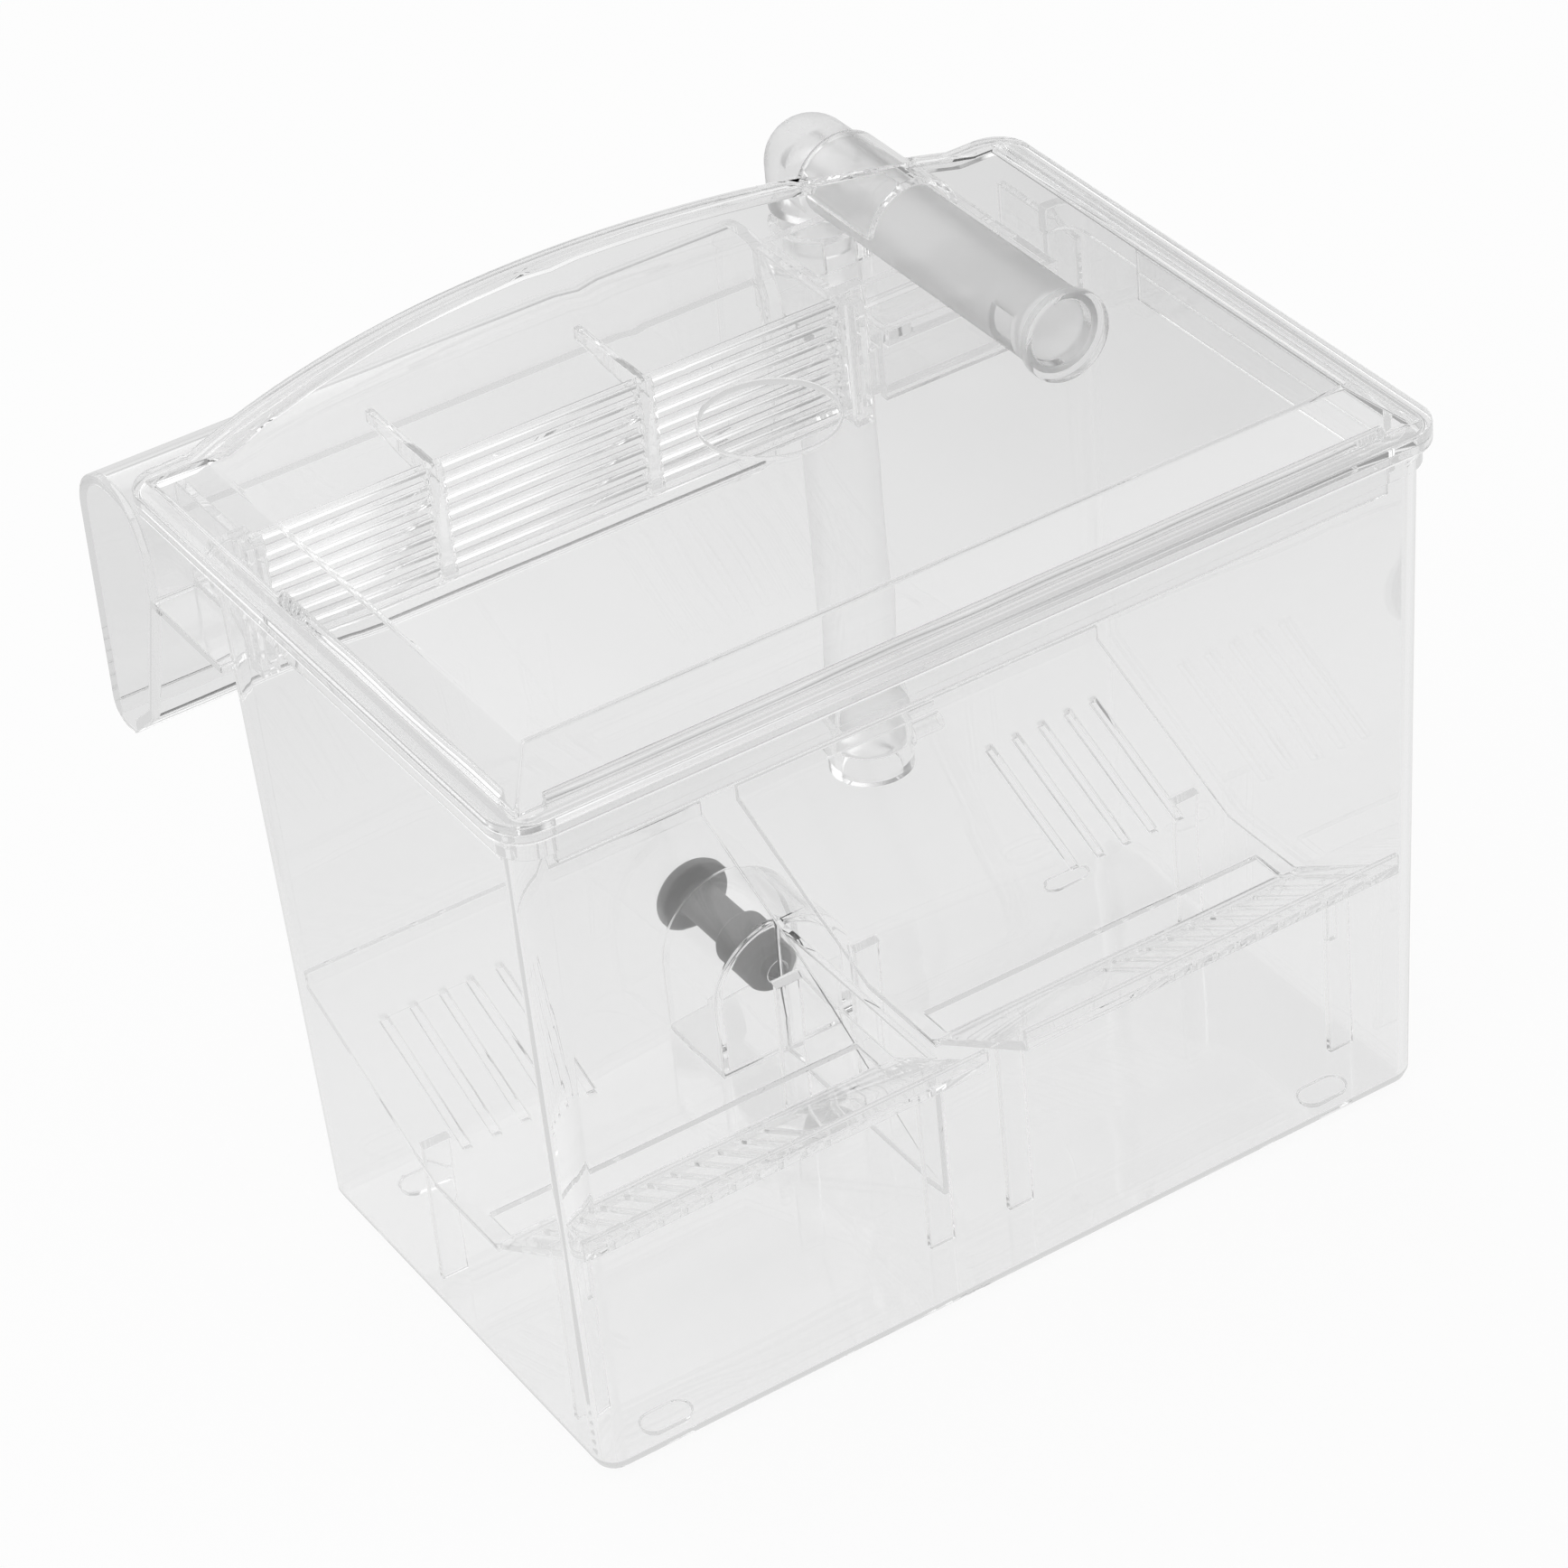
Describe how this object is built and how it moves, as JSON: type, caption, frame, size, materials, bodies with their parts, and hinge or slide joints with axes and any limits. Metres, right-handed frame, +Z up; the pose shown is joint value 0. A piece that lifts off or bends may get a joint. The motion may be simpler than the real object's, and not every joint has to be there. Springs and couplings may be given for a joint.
{
  "type": "fish breeding box",
  "caption": "Clear hang-on breeding box for an aquarium, with bevelled lid, slotted fry traps, air-lift pipe and overflow hood.",
  "frame": {"origin": "centre of the footprint, on the plane that the feet stand on", "axes": "+Z up, +X along the box towards the outlet pipe's end, +Y from the room towards the aquarium"},
  "size_m": [0.205, 0.1798, 0.167],
  "materials": {
    "tub_clear": "clear moulded acrylic, glossy",
    "lid_clear": "clear moulded acrylic, glossy",
    "hanger_clear": "clear moulded acrylic, glossy",
    "screen_clear": "clear moulded acrylic, glossy",
    "cradle_clear": "clear moulded acrylic, glossy",
    "tube_frosted": "frosted translucent tube",
    "elbow_frosted": "frosted translucent tube",
    "pipe_frosted": "frosted translucent tube",
    "cap_clear": "clear moulded acrylic, glossy",
    "collar_clear": "clear moulded acrylic, glossy",
    "trap_clear": "clear moulded acrylic, glossy",
    "pad_rubber": "soft grey rubber"
  },
  "bodies": {
    "box": {"tank_body": "tub_clear", "overflow_hanger": "hanger_clear", "pipe_cradle": "cradle_clear", "riser_tube": "tube_frosted", "riser_elbow": "elbow_frosted", "air_collar": "collar_clear"},
    "cover": {"lid": "lid_clear"},
    "screen": {"drain_screen": "screen_clear"},
    "outlet": {"outlet_pipe": "pipe_frosted", "outlet_cap": "cap_clear"},
    "left_trap": {"trap_left": "trap_clear"},
    "right_trap": {"trap_right": "trap_clear"},
    "pad": {"levelling_pad": "pad_rubber"}
  },
  "joints": [
    {"name": "lid_lift", "type": "slide", "parent": "box", "child": "cover", "axis": [0, 0, 1], "range_m": [0, 0.045]},
    {"name": "screen_lift", "type": "slide", "parent": "box", "child": "screen", "axis": [0, 0, 1], "range_m": [0, 0.006]},
    {"name": "outlet_swivel", "type": "hinge", "parent": "box", "child": "outlet", "pos_m": [0.07, 0.0301, 0.1543], "axis": [0, 1, 0], "range_deg": [-90, 90]},
    {"name": "trap_left_lift", "type": "slide", "parent": "box", "child": "left_trap", "axis": [0, 0, 1], "range_m": [0, 0.055]},
    {"name": "trap_right_lift", "type": "slide", "parent": "box", "child": "right_trap", "axis": [0, 0, 1], "range_m": [0, 0.055]},
    {"name": "pad_slide", "type": "slide", "parent": "box", "child": "pad", "axis": [0, 1, 0], "range_m": [-0.0018, 0.007]}
  ]
}
